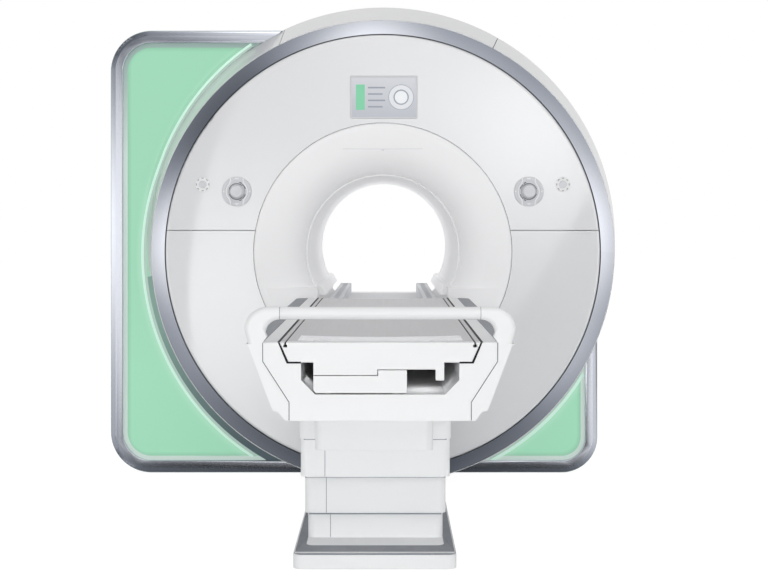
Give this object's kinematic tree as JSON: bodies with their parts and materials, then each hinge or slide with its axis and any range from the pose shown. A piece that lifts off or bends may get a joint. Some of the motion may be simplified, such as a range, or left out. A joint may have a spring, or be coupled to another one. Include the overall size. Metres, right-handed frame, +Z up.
{
  "type": "mri scanner",
  "caption": "Wide-bore magnetic resonance scanner: round white gantry with a silver ring and mint side panels, and a docked patient table on a telescopic column.",
  "frame": {"origin": "on the floor, straight below the middle of the bore", "axes": "+X to the right seen from the patient table, +Y away from the table into the bore, +Z up"},
  "size_m": [2.409, 3.93, 2.222],
  "materials": {
    "white_gloss": "glossy moulded cover",
    "white_plastic": "satin moulded plastic",
    "silver_paint": "silver metallic paint",
    "mint_panel": "mint green panel, satin",
    "screen": "display glass",
    "grey_tray": "grey blue plastic",
    "tabletop": "warm grey laminate",
    "frame_paint": "white powder coat",
    "rail": "pale anodised",
    "vessel_steel": "painted vacuum vessel",
    "feet_paint": "dark grey paint",
    "coil_resin": "cast resin",
    "lift_steel": "ground steel",
    "control_grey": "pale grey plastic",
    "dial_grey": "grey plastic",
    "key_grey": "grey plastic"
  },
  "bodies": {
    "root": {"upper_front_cover": "white_gloss", "lower_front_cover": "white_gloss", "bore_front_cover": "white_gloss", "rear_bore_cover": "white_gloss", "top_shell": "white_gloss", "left_shell": "white_gloss", "right_shell": "white_gloss", "rear_cover": "white_gloss", "back_housing": "white_gloss", "bore_liner": "white_plastic", "left_bore_ledge": "white_plastic", "right_bore_ledge": "white_plastic", "column_foot": "white_plastic", "table_plinth": "white_plastic", "trim_ring": "silver_paint", "left_frame": "silver_paint", "right_frame": "silver_paint", "display_bezel": "silver_paint", "left_panel": "mint_panel", "right_panel": "mint_panel", "display_glass": "screen", "plinth_tray": "grey_tray", "left_bore_rail": "rail", "right_bore_rail": "rail", "magnet_vessel": "vessel_steel", "magnet_feet": "feet_paint", "gradient_coil": "coil_resin", "body_coil": "coil_resin", "lift_cylinder": "lift_steel", "left_control_ring": "control_grey", "left_small_ring": "control_grey", "right_control_ring": "control_grey", "right_small_ring": "control_grey"},
    "table_lift": {"table_frame": "frame_paint", "column_upper": "white_plastic", "lift_rod": "lift_steel", "cable_box": "white_plastic", "drive_housing": "white_plastic", "left_side_cover": "white_plastic", "right_side_cover": "white_plastic", "handle_bar": "white_plastic", "left_side_ledge": "grey_tray", "right_side_ledge": "grey_tray"},
    "column_middle": {"column_middle": "white_plastic", "lift_sleeve": "lift_steel"},
    "column_lower": {"column_lower": "white_plastic"},
    "tabletop": {"tabletop_board": "tabletop", "end_cap": "white_plastic"},
    "left_control_dial": {"left_control_dial": "dial_grey"},
    "left_control_upper_key": {"left_control_upper_key": "key_grey"},
    "left_control_lower_key": {"left_control_lower_key": "key_grey"},
    "left_control_left_key": {"left_control_left_key": "key_grey"},
    "left_control_right_key": {"left_control_right_key": "key_grey"},
    "left_small_button": {"left_small_button": "dial_grey"},
    "right_control_dial": {"right_control_dial": "dial_grey"},
    "right_control_upper_key": {"right_control_upper_key": "key_grey"},
    "right_control_lower_key": {"right_control_lower_key": "key_grey"},
    "right_control_left_key": {"right_control_left_key": "key_grey"},
    "right_control_right_key": {"right_control_right_key": "key_grey"},
    "right_small_button": {"right_small_button": "dial_grey"}
  },
  "joints": [
    {"name": "table_lift_slide", "type": "slide", "parent": "root", "child": "table_lift", "axis": [0, 0, 1], "range_m": [-0.3, 0]},
    {"name": "column_middle_slide", "type": "slide", "parent": "root", "child": "column_middle", "axis": [0, 0, 1], "range_m": [-0.195, 0]},
    {"name": "column_lower_slide", "type": "slide", "parent": "root", "child": "column_lower", "axis": [0, 0, 1], "range_m": [-0.085, 0]},
    {"name": "tabletop_slide", "type": "slide", "parent": "table_lift", "child": "tabletop", "axis": [0, 1, 0], "range_m": [0, 2]},
    {"name": "left_control_dial_turn", "type": "hinge", "parent": "root", "child": "left_control_dial", "pos_m": [-0.658, -0.867, 1.333], "axis": [0, -1, 0], "range_deg": [-45, 45], "stiffness_Nm_per_rad": 0.05},
    {"name": "left_control_upper_key_press", "type": "slide", "parent": "root", "child": "left_control_upper_key", "axis": [0, 1, 0], "range_m": [0, 0.0015], "stiffness_N_per_m": 600},
    {"name": "left_control_lower_key_press", "type": "slide", "parent": "root", "child": "left_control_lower_key", "axis": [0, 1, 0], "range_m": [0, 0.0015], "stiffness_N_per_m": 600},
    {"name": "left_control_left_key_press", "type": "slide", "parent": "root", "child": "left_control_left_key", "axis": [0, 1, 0], "range_m": [0, 0.0015], "stiffness_N_per_m": 600},
    {"name": "left_control_right_key_press", "type": "slide", "parent": "root", "child": "left_control_right_key", "axis": [0, 1, 0], "range_m": [0, 0.0015], "stiffness_N_per_m": 600},
    {"name": "left_small_button_press", "type": "slide", "parent": "root", "child": "left_small_button", "axis": [0, 1, 0], "range_m": [0, 0.0015], "stiffness_N_per_m": 600},
    {"name": "right_control_dial_turn", "type": "hinge", "parent": "root", "child": "right_control_dial", "pos_m": [0.658, -0.867, 1.333], "axis": [0, -1, 0], "range_deg": [-45, 45], "stiffness_Nm_per_rad": 0.05},
    {"name": "right_control_upper_key_press", "type": "slide", "parent": "root", "child": "right_control_upper_key", "axis": [0, 1, 0], "range_m": [0, 0.0015], "stiffness_N_per_m": 600},
    {"name": "right_control_lower_key_press", "type": "slide", "parent": "root", "child": "right_control_lower_key", "axis": [0, 1, 0], "range_m": [0, 0.0015], "stiffness_N_per_m": 600},
    {"name": "right_control_left_key_press", "type": "slide", "parent": "root", "child": "right_control_left_key", "axis": [0, 1, 0], "range_m": [0, 0.0015], "stiffness_N_per_m": 600},
    {"name": "right_control_right_key_press", "type": "slide", "parent": "root", "child": "right_control_right_key", "axis": [0, 1, 0], "range_m": [0, 0.0015], "stiffness_N_per_m": 600},
    {"name": "right_small_button_press", "type": "slide", "parent": "root", "child": "right_small_button", "axis": [0, 1, 0], "range_m": [0, 0.0015], "stiffness_N_per_m": 600}
  ],
  "couplings": [
    {"joint": "column_middle_slide", "follows": "table_lift_slide", "ratio": 0.64},
    {"joint": "column_lower_slide", "follows": "table_lift_slide", "ratio": 0.28}
  ]
}
